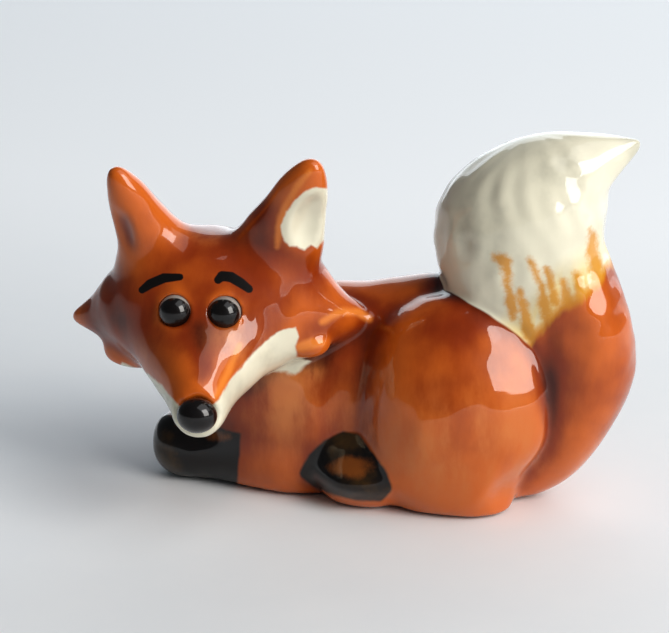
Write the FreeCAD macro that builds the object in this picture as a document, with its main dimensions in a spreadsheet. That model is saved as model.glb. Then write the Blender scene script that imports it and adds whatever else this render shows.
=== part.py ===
import FreeCAD, Part
import math
import os
import Sketcher

# A small glazed pottery fox that lies on its belly with its head turned to its left.
# It is built as a potter builds it: a hollow torso, then the limbs, the tail, the neck and
# the head, each seated on what was there before, and last the ears, cheeks, eyes and nose.
# Every piece is first a plain form. A form that another one carries is then cut by it,
# so that the two meet face to face along the slip joint.
# The torso lies along X with the head at low X and its left side towards -Y. The origin is on
# the torso's flat base, and Z = 0 is the table. Lengths are millimetres and angles degrees.

SIZES = {
    # torso, a loft along X
    "torso_x": 2.0,
    "torso_z": 9.5,
    "torso_length": 37.0,
    "torso_half_width": 7.4,
    "torso_half_height": 13.5,
    "torso_wall": 2.4,
    "vent_diameter": 6.0,
    "vent_from_middle": 6.0,
    # neck, an egg between the torso and the back of the head
    "neck_from_front": 5.5,
    "neck_aside": 2.5,
    "neck_above_middle": 6.0,
    "neck_half_length": 7.5,
    "neck_half_width": 6.5,
    "neck_half_height": 8.0,
    "neck_lean": 25.0,
    # head, a loft from the nape to the snout, in a frame of its own
    "head_from_front": 3.2,
    "head_aside": 8.0,
    "head_above_middle": 11.1,
    "head_turn": 10.0,
    "head_nod": 28.0,
    "head_length": 22.8,
    "head_half_width": 10.3,
    "head_half_height": 7.2,
    # eyes and nose, placed on the head by shares of its own sizes
    "eye_radius": 1.65,
    "nose_half_width": 1.95,
    "nose_half_depth": 1.7,
    "nose_half_height": 1.75,
    # ears
    "left_ear_height": 16.6,
    "left_ear_half_width": 4.05,
    "left_ear_half_depth": 3.0,
    "right_ear_height": 15.1,
    "right_ear_half_width": 3.2,
    "right_ear_half_depth": 3.0,
    "ear_dish_lean": 14.0,
    # cheek ruffs and the small tufts under them
    "left_cheek_length": 10.7,
    "left_cheek_half_depth": 5.0,
    "left_cheek_half_height": 5.0,
    "right_cheek_length": 9.5,
    "right_cheek_half_depth": 4.8,
    "right_cheek_half_height": 4.8,
    "tuft_half_length": 2.1,
    "tuft_half_depth": 1.3,
    "tuft_half_height": 1.3,
    # forelegs, lofts from the elbow to the paw, and the shoulders over them
    "left_foreleg_from_front": 13.5,
    "left_foreleg_inset": 3.1,
    "left_foreleg_z": 3.4,
    "left_foreleg_turn": -4.0,
    "left_foreleg_length": 18.4,
    "left_foreleg_radius": 3.7,
    "right_foreleg_from_front": 10.0,
    "right_foreleg_inset": 3.7,
    "right_foreleg_z": 3.2,
    "right_foreleg_turn": 3.0,
    "right_foreleg_length": 11.0,
    "right_foreleg_radius": 3.5,
    "shoulder_from_front": 10.2,
    "shoulder_inset": 4.1,
    "shoulder_below_middle": 1.5,
    "shoulder_half_length": 7.4,
    "shoulder_half_width": 4.4,
    "shoulder_half_height": 8.6,
    # haunches, eggs that lean against the torso, and the feet under them
    "haunch_from_back": 8.9,
    "haunch_bulge": 2.2,
    "haunch_half_length": 9.1,
    "haunch_half_height": 12.2,
    "hind_foot_from_back": 18.3,
    "hind_foot_inset": 1.4,
    "hind_foot_z": 3.6,
    "hind_foot_half_length": 5.2,
    "hind_foot_half_width": 3.2,
    "hind_foot_half_height": 4.3,
    # tail, a loft up and around behind the rump, which starts inside the torso
    "tail_inset": 20.5,
    "tail_reach": 27.2,
    "tail_height": 38.0,
    "tail_half_thickness": 8.5,
    "tail_half_width": 7.4,
    # room that a cut takes past the surface it opens
    "cut_room": 40.0,
}

# A smooth closed curve of even poles runs inside them, at this share of their radius.
POLE_COUNT = 8
POLE_REACH_SHARE = (4 + 2 * math.cos(2 * math.pi / POLE_COUNT)) / 6

# Sections of each loft. A row is: place along the loft as a share of its length, shift of the
# centre across and up, and half width and half height, as shares of the loft's half sizes.
TORSO_SHARES = (
    (-0.500, 0, 0.16, 0.12, 0.10),
    (-0.473, 0, 0.13, 0.40, 0.36),
    (-0.392, 0, 0.06, 0.72, 0.64),
    (-0.243, 0, 0.00, 0.92, 0.84),
    (0.000, 0, -0.01, 1.00, 0.93),
    (0.216, 0, 0.00, 1.00, 1.01),
    (0.351, 0, -0.02, 0.88, 0.88),
    (0.446, 0, -0.08, 0.60, 0.56),
    (0.486, 0, -0.12, 0.34, 0.30),
    (0.500, 0, -0.14, 0.12, 0.10),
)
HEAD_SHARES = (
    (-0.307, 0.00, 0.07, 0.24, 0.30),
    (-0.263, 0.00, 0.08, 0.54, 0.64),
    (-0.154, 0.00, 0.11, 0.87, 0.90),
    (0.000, 0.00, 0.14, 1.00, 1.00),
    (0.132, 0.00, 0.11, 0.91, 0.89),
    (0.263, 0.00, -0.08, 0.70, 0.73),
    (0.395, 0.00, -0.12, 0.50, 0.62),
    (0.526, 0.02, -0.12, 0.33, 0.50),
    (0.636, 0.04, -0.11, 0.24, 0.36),
    (0.693, 0.05, -0.10, 0.15, 0.22),
)
EAR_SHARES = (
    (0.00, -0.50, 0.00, 0.60, 0.80),
    (0.15, -0.12, 0.00, 1.02, 1.00),
    (0.33, -0.05, 0.00, 1.04, 0.97),
    (0.50, 0.06, 0.04, 1.00, 0.87),
    (0.68, 0.36, 0.10, 0.78, 0.70),
    (0.76, 0.48, 0.12, 0.685, 0.62),
    (0.84, 0.58, 0.14, 0.58, 0.54),
    (0.935, 0.73, 0.16, 0.38, 0.36),
    (0.985, 0.80, 0.17, 0.20, 0.20),
    (1.00, 0.82, 0.17, 0.06, 0.06),
)
# Places of the small parts of the head: across by its half width, forward by its length and
# up by its half height.
EYE_PLACE_SHARE = (0.233, 0.2325, 0.597)
NOSE_PLACE_SHARE = (0.058, 0.671, 0.0556)
EAR_PLACE_SHARES = {"left": (0.738, -0.0746, 0.139), "right": (0.534, -0.0746, 0.139)}
CHEEK_PLACE_SHARES = {"left": (0.5825, 0, -0.1667), "right": (0.4854, 0, -0.25)}
# A tuft sits on its cheek: out from it by the cheek's length, forward and up by its half sizes.
TUFT_PLACE_SHARES = {"left": (0.3925, 0.74, -0.08), "right": (0.4, 0.625, -0.625)}
# An egg hollows each ear in front of and outside its middle. Its place out, forward and up
# follows the ear's half width, half depth and height, and so do its radius and half height.
EAR_DISH_OUT_SHARE = 0.96
EAR_DISH_FORWARD_SHARE = 0.97
EAR_DISH_UP_SHARE = 0.67
EAR_DISH_RADIUS_SHARE = 0.64
EAR_DISH_HEIGHT_SHARE = 0.27
CHEEK_SHARES = (
    (0.00, 0, 0.00, 1.00, 1.00),
    (0.15, 0, 0.00, 0.95, 0.97),
    (0.30, 0, 0.01, 0.86, 0.90),
    (0.43, 0, 0.03, 0.76, 0.81),
    (0.55, 0, 0.03, 0.64, 0.69),
    (0.75, 0, -0.02, 0.38, 0.40),
    (0.91, 0, -0.10, 0.17, 0.18),
    (1.00, 0, -0.14, 0.05, 0.05),
)
FORELEG_SHARES = (
    (0.00, 0, 0, 0.20, 0.20),
    (0.04, 0, 0, 0.62, 0.62),
    (0.16, 0, 0, 0.95, 0.95),
    (0.28, 0, 0, 0.96, 0.97),
    (0.40, 0, 0, 0.95, 0.96),
    (0.66, 0, 0, 0.94, 0.95),
    (0.84, 0, 0, 0.98, 1.00),
    (0.94, 0, 0, 0.74, 0.78),
    (0.985, 0, 0, 0.38, 0.42),
    (1.00, 0, 0, 0.12, 0.12),
)

HAUNCH_SHARES = (
    (0.00, 0.00, 0.06, 0.60, 0.66),
    (0.16, 0.00, 0.06, 0.78, 0.83),
    (0.30, 0.00, 0.05, 0.91, 0.94),
    (0.53, 0.00, 0.03, 1.00, 1.00),
    (0.72, -0.02, 0.02, 0.93, 0.90),
    (0.86, -0.05, 0.00, 0.75, 0.71),
    (0.96, -0.07, 0.00, 0.44, 0.42),
    (1.00, -0.07, 0.00, 0.14, 0.14),
)
HAUNCH_CORNER_SHARE = 1.1

# The tail's sections stand across a spine that curls up, forward over the rump, and back.
# A row is: place out along X and up as shares of the tail's reach and height, the lean of the
# spine from upright in degrees, and the section's thickness and width as shares.
TAIL_SHARES = (
    (0.496, 0.045, 90, 0.21, 0.25),
    (0.628, 0.066, 70, 0.34, 0.38),
    (0.746, 0.160, 38, 0.49, 0.55),
    (0.811, 0.289, 12, 0.64, 0.70),
    (0.809, 0.437, -14, 0.78, 0.84),
    (0.710, 0.566, -30, 0.90, 0.94),
    (0.618, 0.692, -14, 0.99, 1.00),
    (0.614, 0.789, 0, 1.00, 0.99),
    (0.684, 0.886, 14, 0.80, 0.84),
    (0.803, 0.953, 27, 0.50, 0.55),
    (0.915, 0.983, 39, 0.22, 0.24),
    (1.000, 1.000, 50, 0.04, 0.05),
)

# The cavity follows the torso's sections but leaves out its closed ends.
CAVITY_SECTION_SHARES = TORSO_SHARES[1:-1]

# What sits on the torso is placed from its ends, its sides and its middle height.
TORSO_FRONT = "sizes.torso_x - sizes.torso_length / 2"
TORSO_BACK = "sizes.torso_x + sizes.torso_length / 2"
TORSO_SIDE = "sizes.torso_half_width"

doc = FreeCAD.newDocument("lying_fox")
sizes = doc.addObject("Spreadsheet::Sheet", "sizes")


def fill_sheet():
    for row, (name, value) in enumerate(SIZES.items(), start=1):
        sizes.set(f"A{row}", name)
        sizes.set(f"B{row}", str(value))
        sizes.setAlias(f"B{row}", name)
    doc.recompute()


def times(name, share):
    return f"sizes.{name} * {share}"


def origin_plane(body, role):
    return [feature for feature in body.Origin.OriginFeatures if feature.Role == role][0]


def section_sketch(
    body, plane, name, offset, half_width, half_height, centre=("0", "0"), corner_share=1
):
    """Draw one smooth closed section. Its places and half sizes are expressions."""
    sketch = body.newObject("Sketcher::SketchObject", name)
    sketch.AttachmentSupport = [(origin_plane(body, plane), "")]
    sketch.MapMode = "FlatFace"
    for axis, expression in offset.items():
        if axis == "lean":
            sketch.AttachmentOffset = FreeCAD.Placement(
                FreeCAD.Vector(), FreeCAD.Rotation(FreeCAD.Vector(0, 1, 0), 1)
            )
            sketch.setExpression("AttachmentOffset.Rotation.Angle", expression)
        else:
            sketch.setExpression(f"AttachmentOffset.Base.{axis}", expression)
    unit_shares = []
    for index in range(POLE_COUNT):
        angle = 2 * math.pi * index / POLE_COUNT
        reach_share = (corner_share if index % 2 else 1) / POLE_REACH_SHARE
        unit_shares.append((math.cos(angle) * reach_share, math.sin(angle) * reach_share))
    poles = [FreeCAD.Vector(x, y, 0) for x, y in unit_shares]
    curve = sketch.addGeometry(Part.BSplineCurve(poles, None, None, True, 3, None, False), False)
    sketch.exposeInternalGeometry(curve)
    for index, (x_share, y_share) in enumerate(unit_shares, start=1):
        pole = curve + index
        across = sketch.addConstraint(Sketcher.Constraint("DistanceX", -1, 1, pole, 3, x_share))
        upward = sketch.addConstraint(Sketcher.Constraint("DistanceY", -1, 1, pole, 3, y_share))
        sketch.setExpression(f"Constraints[{across}]", f"{centre[0]} + ({half_width}) * {x_share:.6f}")
        sketch.setExpression(f"Constraints[{upward}]", f"{centre[1]} + ({half_height}) * {y_share:.6f}")
    return sketch


def loft_sections(body, sketches):
    loft = body.newObject("PartDesign::AdditiveLoft", f"{body.Label}_loft")
    loft.Profile = sketches[0]
    loft.Sections = [(sketch, [""]) for sketch in sketches[1:]]
    for sketch in sketches:
        sketch.Visibility = False
    return loft


def lofted_form(
    label, plane, rows, length, half_width, half_height, direction=1, mirror=1, corner_share=1
):
    """Loft the rows of a share table along a plane's normal, or against it in direction -1."""
    body = doc.addObject("PartDesign::Body", label)
    sketches = []
    for number, (along, shift_across, shift_up, across, up) in enumerate(rows, start=1):
        sketches.append(
            section_sketch(
                body,
                plane,
                f"{label}_section_{number}",
                {"z": f"({length}) * {along * direction}"},
                f"({half_width}) * {across}",
                f"({half_height}) * {up}",
                (f"({half_width}) * {shift_across * mirror}", f"({half_height}) * {shift_up}"),
                corner_share,
            )
        )
    loft_sections(body, sketches)
    return body


def egg_form(label, half_length, half_width, half_height):
    """An ellipsoid with its half sizes along X, Y and Z."""
    egg = doc.addObject("Part::Ellipsoid", label)
    egg.Angle1 = -90
    egg.Angle2 = 90
    egg.Angle3 = 360
    egg.setExpression("Radius1", half_height)
    egg.setExpression("Radius2", half_length)
    egg.setExpression("Radius3", half_width)
    return egg


def place(form, x="0", y="0", z="0", turn="0", tilt="0", nod="0"):
    """Place a form: turn about Z, tilt about Y and nod about X, in degrees."""
    form.setExpression("Placement", f"placement(vector({x}; {y}; {z}); rotation({turn}; {tilt}; {nod}))")


def head_place(shares):
    """Give the places across, forward and up on the head for a row of place shares."""
    across, forward, up = shares
    return [times("head_half_width", across), times("head_length", forward), times("head_half_height", up)]


def place_in_head(form, sign, across, forward, up, tilt="0"):
    """Place a form in the frame of the head, where -Y is forward and X is across."""
    local = f"placement(vector({sign} * ({across}); -({forward}); {up}); rotation(0; {tilt}; 0))"
    form.setExpression("Placement", f"head_form.Placement * {local}")


def cut(label, form, tools):
    """Cut a form by each tool in turn. The last cut carries the label."""
    result = form
    for number, tool in enumerate(tools, start=1):
        step = doc.addObject("Part::Cut", label if number == len(tools) else f"{label}_cut_{number}")
        step.Base = result
        step.Tool = tool
        step.Refine = False
        result = step
    return result


fill_sheet()

# The table, and the forms of the trunk
table = doc.addObject("Part::Box", "table")
table.setExpression("Length", "sizes.cut_room * 2")
table.setExpression("Width", "sizes.cut_room * 2")
table.setExpression("Height", "sizes.cut_room")
place(table, "-sizes.cut_room", "-sizes.cut_room", "-sizes.cut_room")

torso_form = lofted_form(
    "torso_form",
    "YZ_Plane",
    TORSO_SHARES,
    "sizes.torso_length",
    "sizes.torso_half_width",
    "sizes.torso_half_height",
)
place(torso_form, x="sizes.torso_x", z="sizes.torso_z")

cavity_form = lofted_form(
    "cavity_form",
    "YZ_Plane",
    CAVITY_SECTION_SHARES,
    "sizes.torso_length - 2 * sizes.torso_wall",
    "sizes.torso_half_width - sizes.torso_wall",
    "sizes.torso_half_height - sizes.torso_wall",
)
place(cavity_form, x="sizes.torso_x", z="sizes.torso_z")
cavity_floor = doc.addObject("Part::Box", "cavity_floor")
cavity_floor.setExpression("Length", "sizes.cut_room * 2")
cavity_floor.setExpression("Width", "sizes.cut_room * 2")
cavity_floor.setExpression("Height", "sizes.cut_room")
place(cavity_floor, "-sizes.cut_room", "-sizes.cut_room", "sizes.torso_wall - sizes.cut_room")
cavity = cut("cavity", cavity_form, [cavity_floor])

vent = doc.addObject("Part::Cylinder", "vent")
vent.setExpression("Radius", "sizes.vent_diameter / 2")
vent.setExpression("Height", "sizes.torso_wall * 3")
place(vent, x="sizes.torso_x + sizes.vent_from_middle", z="-sizes.torso_wall")

neck_form = egg_form(
    "neck_form", "sizes.neck_half_length", "sizes.neck_half_width", "sizes.neck_half_height"
)
place(
    neck_form,
    f"{TORSO_FRONT} + sizes.neck_from_front",
    "-sizes.neck_aside",
    "sizes.torso_z + sizes.neck_above_middle",
    tilt="-sizes.neck_lean",
)

# The limbs
foreleg_forms = {}
shoulder_forms = {}
haunch_forms = {}
foot_forms = {}
for side, sign in (("left", -1), ("right", 1)):
    foreleg = lofted_form(
        f"{side}_foreleg_form",
        "YZ_Plane",
        FORELEG_SHARES,
        f"sizes.{side}_foreleg_length",
        f"sizes.{side}_foreleg_radius",
        f"sizes.{side}_foreleg_radius",
        direction=-1,
    )
    place(
        foreleg,
        f"{TORSO_FRONT} + sizes.{side}_foreleg_from_front",
        f"{sign} * ({TORSO_SIDE} - sizes.{side}_foreleg_inset)",
        f"sizes.{side}_foreleg_z",
        turn=f"sizes.{side}_foreleg_turn",
    )
    foreleg_forms[side] = foreleg

    shoulder = egg_form(
        f"{side}_shoulder_form",
        "sizes.shoulder_half_length",
        "sizes.shoulder_half_width",
        "sizes.shoulder_half_height",
    )
    place(
        shoulder,
        f"{TORSO_FRONT} + sizes.shoulder_from_front",
        f"{sign} * ({TORSO_SIDE} - sizes.shoulder_inset)",
        "sizes.torso_z - sizes.shoulder_below_middle",
    )
    shoulder_forms[side] = shoulder

    haunch = lofted_form(
        f"{side}_haunch_form",
        "XZ_Plane",
        HAUNCH_SHARES,
        f"{TORSO_SIDE} + sizes.haunch_bulge",
        "sizes.haunch_half_length",
        "sizes.haunch_half_height",
        direction=-sign,
        corner_share=HAUNCH_CORNER_SHARE,
    )
    place(haunch, x=f"{TORSO_BACK} - sizes.haunch_from_back", z="sizes.torso_z")
    haunch_forms[side] = haunch

    foot = egg_form(
        f"{side}_hind_foot_form",
        "sizes.hind_foot_half_length",
        "sizes.hind_foot_half_width",
        "sizes.hind_foot_half_height",
    )
    place(
        foot,
        f"{TORSO_BACK} - sizes.hind_foot_from_back",
        f"{sign} * ({TORSO_SIDE} - sizes.hind_foot_inset)",
        "sizes.hind_foot_z",
    )
    foot_forms[side] = foot

# The tail
tail_form = doc.addObject("PartDesign::Body", "tail_form")
tail_sketches = []
for number, (out, up, lean, thickness, width) in enumerate(TAIL_SHARES, start=1):
    tail_sketches.append(
        section_sketch(
            tail_form,
            "XY_Plane",
            f"tail_section_{number}",
            {"lean": str(lean), "x": times("tail_reach", out), "z": times("tail_height", up)},
            times("tail_half_thickness", thickness),
            times("tail_half_width", width),
        )
    )
loft_sections(tail_form, tail_sketches)
place(tail_form, x=f"{TORSO_BACK} - sizes.tail_inset")

# The head and what it carries
head_form = lofted_form(
    "head_form",
    "XZ_Plane",
    HEAD_SHARES,
    "sizes.head_length",
    "sizes.head_half_width",
    "sizes.head_half_height",
)
place(
    head_form,
    f"{TORSO_FRONT} + sizes.head_from_front",
    "-sizes.head_aside",
    "sizes.torso_z + sizes.head_above_middle",
    turn="sizes.head_turn",
    nod="sizes.head_nod",
)

nose = egg_form("nose", "sizes.nose_half_width", "sizes.nose_half_depth", "sizes.nose_half_height")
place_in_head(nose, 1, *head_place(NOSE_PLACE_SHARE))

eyes = {}
ear_forms = {}
dish_forms = {}
cheek_forms = {}
tuft_forms = {}
for side, sign in (("left", 1), ("right", -1)):
    eye = doc.addObject("Part::Sphere", f"{side}_eye")
    eye.setExpression("Radius", "sizes.eye_radius")
    place_in_head(eye, sign, *head_place(EYE_PLACE_SHARE))
    eyes[side] = eye

    ear = lofted_form(
        f"{side}_ear_form",
        "XY_Plane",
        EAR_SHARES,
        f"sizes.{side}_ear_height",
        f"sizes.{side}_ear_half_width",
        f"sizes.{side}_ear_half_depth",
        mirror=sign,
    )
    ear_place = head_place(EAR_PLACE_SHARES[side])
    place_in_head(ear, sign, *ear_place)
    ear_forms[side] = ear

    dish = egg_form(
        f"{side}_ear_dish",
        times(f"{side}_ear_half_width", EAR_DISH_RADIUS_SHARE),
        times(f"{side}_ear_half_width", EAR_DISH_RADIUS_SHARE),
        times(f"{side}_ear_height", EAR_DISH_HEIGHT_SHARE),
    )
    place_in_head(
        dish,
        sign,
        f"{ear_place[0]} + {times(f'{side}_ear_half_width', EAR_DISH_OUT_SHARE)}",
        f"{ear_place[1]} + {times(f'{side}_ear_half_depth', EAR_DISH_FORWARD_SHARE)}",
        f"{ear_place[2]} + {times(f'{side}_ear_height', EAR_DISH_UP_SHARE)}",
        tilt=f"{sign} * sizes.ear_dish_lean",
    )
    dish_forms[side] = dish

    cheek = lofted_form(
        f"{side}_cheek_form",
        "YZ_Plane",
        CHEEK_SHARES,
        f"sizes.{side}_cheek_length",
        f"sizes.{side}_cheek_half_depth",
        f"sizes.{side}_cheek_half_height",
        direction=sign,
    )
    cheek_place = head_place(CHEEK_PLACE_SHARES[side])
    place_in_head(cheek, sign, *cheek_place)
    cheek_forms[side] = cheek

    tuft = egg_form(
        f"{side}_tuft_form", "sizes.tuft_half_length", "sizes.tuft_half_depth", "sizes.tuft_half_height"
    )
    tuft_across, tuft_forward, tuft_up = TUFT_PLACE_SHARES[side]
    place_in_head(
        tuft,
        sign,
        f"{cheek_place[0]} + {times(f'{side}_cheek_length', tuft_across)}",
        f"{cheek_place[1]} + {times(f'{side}_cheek_half_depth', tuft_forward)}",
        f"{cheek_place[2]} + {times(f'{side}_cheek_half_height', tuft_up)}",
    )
    tuft_forms[side] = tuft

# The pieces, each cut by what carries it
nodes = {"torso": cut("torso", torso_form, [table, cavity, vent])}
for side in ("left", "right"):
    shoulder = shoulder_forms[side]
    haunch = haunch_forms[side]
    nodes[f"{side}_shoulder"] = cut(f"{side}_shoulder", shoulder, [torso_form, table])
    nodes[f"{side}_haunch"] = cut(f"{side}_haunch", haunch, [torso_form, table])
    nodes[f"{side}_foreleg"] = cut(f"{side}_foreleg", foreleg_forms[side], [torso_form, shoulder, table])
    nodes[f"{side}_hind_foot"] = cut(f"{side}_hind_foot", foot_forms[side], [torso_form, haunch, table])
nodes["tail"] = cut("tail", tail_form, [torso_form, haunch_forms["left"], haunch_forms["right"], table])
nodes["neck"] = cut("neck", neck_form, [torso_form, shoulder_forms["left"], shoulder_forms["right"]])
trunk = [neck_form, torso_form, shoulder_forms["left"]]
nodes["head"] = cut("head", head_form, trunk + [eyes["left"], eyes["right"], nose])
nodes["nose"] = nose
for side in ("left", "right"):
    beside = trunk if side == "left" else []
    nodes[f"{side}_ear"] = cut(f"{side}_ear", ear_forms[side], [head_form, dish_forms[side]])
    nodes[f"{side}_cheek"] = cut(
        f"{side}_cheek", cheek_forms[side], [head_form, ear_forms[side]] + beside
    )
    nodes[f"{side}_tuft"] = cut(f"{side}_tuft", tuft_forms[side], [head_form, cheek_forms[side]] + beside)
    nodes[f"{side}_eye"] = eyes[side]

doc.recompute()

# Check every object before anything is written
for item in doc.Objects:
    if "Invalid" in item.State or "Error" in item.State:
        raise RuntimeError(f"{item.Label} did not build: {item.State}")
for label, node in nodes.items():
    shape = node.Shape
    if shape.isNull() or not shape.isValid() or len(shape.Solids) != 1 or shape.Volume <= 0:
        raise RuntimeError(f"{label} is not one valid solid")

os.makedirs("parts", exist_ok=True)
for label, node in nodes.items():
    print(label, round(node.Shape.Volume, 1))
    node.Shape.exportStep(f"parts/{label}.step")
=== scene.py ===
import math

import bpy
import numpy as np
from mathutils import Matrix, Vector
from mathutils.bvhtree import BVHTree


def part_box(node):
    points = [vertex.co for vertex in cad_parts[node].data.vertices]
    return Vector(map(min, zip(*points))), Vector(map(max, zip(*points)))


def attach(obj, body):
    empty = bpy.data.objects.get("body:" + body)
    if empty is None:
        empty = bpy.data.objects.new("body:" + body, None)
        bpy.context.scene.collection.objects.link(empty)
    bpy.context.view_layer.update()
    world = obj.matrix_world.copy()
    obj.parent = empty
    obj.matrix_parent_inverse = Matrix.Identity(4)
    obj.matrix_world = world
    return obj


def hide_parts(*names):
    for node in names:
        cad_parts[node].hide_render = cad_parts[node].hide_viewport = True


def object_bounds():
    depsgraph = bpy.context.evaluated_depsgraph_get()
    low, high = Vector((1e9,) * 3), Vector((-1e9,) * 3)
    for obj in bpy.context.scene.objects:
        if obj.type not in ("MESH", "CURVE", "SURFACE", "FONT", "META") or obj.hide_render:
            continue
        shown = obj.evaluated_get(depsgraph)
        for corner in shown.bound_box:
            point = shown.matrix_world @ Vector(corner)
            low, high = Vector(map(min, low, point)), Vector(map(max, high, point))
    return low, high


# The looks of a small glazed pottery fox. The clay body is one blended surface, worked out
# from the distances to the frame's solids, and divided again into one closed piece for each
# solid. Paint edges are kept on the surface as distances, which the glaze materials read.
# Work is done in millimetres and scaled to metres when a mesh is made. Pixels are those of
# the photograph, 669 wide and 633 high.

MM = 0.001
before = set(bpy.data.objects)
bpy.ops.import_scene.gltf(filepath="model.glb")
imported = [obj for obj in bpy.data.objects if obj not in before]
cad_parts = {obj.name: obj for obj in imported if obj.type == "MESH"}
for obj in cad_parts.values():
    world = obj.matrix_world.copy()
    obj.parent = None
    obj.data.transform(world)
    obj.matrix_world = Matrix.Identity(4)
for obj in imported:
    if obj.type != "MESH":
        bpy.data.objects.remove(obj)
cad_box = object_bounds()

# The camera that matches the photograph
PHOTO_SIZE = (669, 633)
SENSOR_WIDTH = 36.0
FOCAL_PIXELS = 2079.0
CAMERA_TARGET = np.array([-3.658, 4.453, 16.153])
CAMERA_AZIMUTH = math.radians(15)
CAMERA_ELEVATION = math.radians(18)
CAMERA_DISTANCE = 220.0

# Fineness of the surface: the coarse grid is measured and then doubled
COARSE_STEP = 0.88
DOUBLINGS = 2
FINE_STEP = COARSE_STEP / 2**DOUBLINGS
# How far the grid reaches past the pieces, and how far from a piece its distances are measured
PAD = 2.4
BAND = 2.2
# A ray starts this far under the grid, and is nudged so that it doesn't run along an edge
RAY_START = 10
RAY_NUDGE = 1e-4
# Spare distance kept when far points are skipped
SKIP_MARGIN = 1.0
# Blurs: of the whole form, and two wider ones that tell ridges from hollows
SOFTEN = 0.26
RIDGE_BLUR = 1.0
BROAD_BLUR = 2.4
BLUR_REACH = 2.5
# What counts as a full ridge or hollow after those two blurs
FULL_RIDGE = 0.3
FULL_BROAD = 0.9
# Passes that move points onto the surface, and the least slope trusted there
SETTLE_PASSES = 6
LEAST_SLOPE = 0.3
# Wall of each closed piece, and its share of the clay's thickness where that is small
SHELL = 0.9
SHELL_SHARE = 0.4
WALL_REACHES = np.arange(2.4, 0.1, -0.2)
# Passes that give small islands of one piece to its neighbours
OWNER_PASSES = 4

# How widely each piece flows into what was there before it, in the order of joining
TRUNK_FLOW = {
    "torso": 0.0,
    "neck": 3.0,
    "left_shoulder": 4.0,
    "right_shoulder": 4.0,
    "left_haunch": 1.4,
    "right_haunch": 1.4,
    "left_foreleg": 2.4,
    "right_foreleg": 2.4,
    "left_hind_foot": 1.0,
    "right_hind_foot": 1.0,
}
HEAD_FLOW = {
    "head": 0.0,
    "left_ear": 2.6,
    "right_ear": 2.6,
    "left_cheek": 3.0,
    "right_cheek": 3.0,
    "left_tuft": 1.0,
    "right_tuft": 2.6,
}
TAIL_FLOW = 0.9
NECK_FLOW = 0.9
NAMES = [*TRUNK_FLOW, "tail", *HEAD_FLOW]
BASE_ROUND = 0.7

# The lids: a low ring of clay round each eye
LID_RADIUS = 1.68
LID_THICKNESS = 0.24
LID_FORWARD = 0.45
LID_FLOW = 0.6
LID_REACH = 3.2
FACE_TILT = math.radians(14)

# Where the flanks are fuller or slimmer than the solids: place and reach in x and z, and the
# push away from the middle plane, which starts and is full at these distances from it
SWELL_START = 1.5
SWELL_FULL = 6.5
SWELLS = [
    ((9.0, 11.0), (7.5, 8.5), 1.8),
    ((20.5, 19.0), (5.0, 7.0), -1.6),
    ((2.4, 14.0), (2.4, 8.0), -0.7),
    ((1.4, 3.2), (4.2, 3.6), 0.6),
    ((2.0, 3.4), (4.2, 1.3), 0.75),
]
# Single places that are pulled along, with how far this reaches
TAIL_TIP = np.array([26.75, 0.2, 37.5])
TAIL_TIP_PULL = np.array([1.3, 1.3, -0.1])
TAIL_TIP_REACH = 3.2
HAUNCH_FOOT = np.array([19.5, -6.5, 3.0])
HAUNCH_FOOT_PULL = np.array([-2.6, 0.0, 0.0])
HAUNCH_FOOT_REACH = 3.6
TUFT_PULL = (0.7, 0.45)
TUFT_REACH = 2.6

# Heights of the unevenness that hands and a wet brush leave in the clay
SWELL_HEIGHT = 0.045
RIPPLE_HEIGHT = 0.02
GROOVE_HEIGHT = 0.06
LUMP_HEIGHT = 0.06
# The tail's brushed grooves run round an upright axis and fade near it and towards its root
TAIL_AXIS_X = 17.5
TAIL_GROOVES_FULL = 7
TAIL_GROOVES_FROM = 12
TAIL_GROOVES_RISE = 6
# No marks under this height, so that the base stays flat
MARKS_FROM = 0.3
# Small steps over which slopes are measured
MARK_STEP = 0.05
MOVE_STEP = 0.02

# Paint edges in pixels. A face edge may run outside the head's outline.
JAW_EDGE = [
    (122, 362), (133, 368), (150, 375), (162, 386), (171, 397), (180, 406), (190, 408), (212, 406),
    (220, 399), (229, 382), (241, 368), (252, 354), (264, 342), (279, 331), (296, 327), (299, 337),
    (295, 346), (297, 357), (312, 362), (300, 400), (230, 450), (180, 450), (112, 392),
]
EAR_PATCH_EDGE = [
    (306, 191), (316, 187), (326, 188), (334, 195), (334, 240), (323, 240), (317, 248), (311, 244),
    (305, 250), (297, 246), (290, 246), (283, 240), (281, 226), (286, 213), (295, 200),
]
HIND_FOOT_EDGE = [
    (306, 473), (314, 459), (328, 446), (344, 438), (355, 440), (368, 457), (381, 475), (385, 488),
    (379, 495), (358, 494), (336, 489), (316, 481),
]
HIND_FOOT_ROUND = 0.7
GLOWS = [((350, 467), (29, 14), 1.0), ((220, 436), (24, 10), 0.7)]
PAW_EDGE = [(244, 400), (241, 430), (237, 485)]
TAIL_EDGE = [
    (400, 392), (500, 360), (526, 349), (538, 331), (556, 312), (573, 302), (595, 286), (612, 262),
]
PAW_TOP = 6.8
# Painted edges end where the surface turns away: how square it is to the camera there, and
# the millimetres that stand for a full turn
SHOWN_FROM = 0.05
TURN_LENGTH = 3.0
# Each brow is a stroke: points with a half width
BROWS = [
    [(142, 290, 3.6), (150, 284, 4.8), (164, 278, 4.8), (180, 277, 3.4)],
    [(218, 280, 4.0), (222, 276, 5.0), (231, 277, 5.2), (241, 283, 4.9), (249, 289, 4.0)],
]
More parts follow.
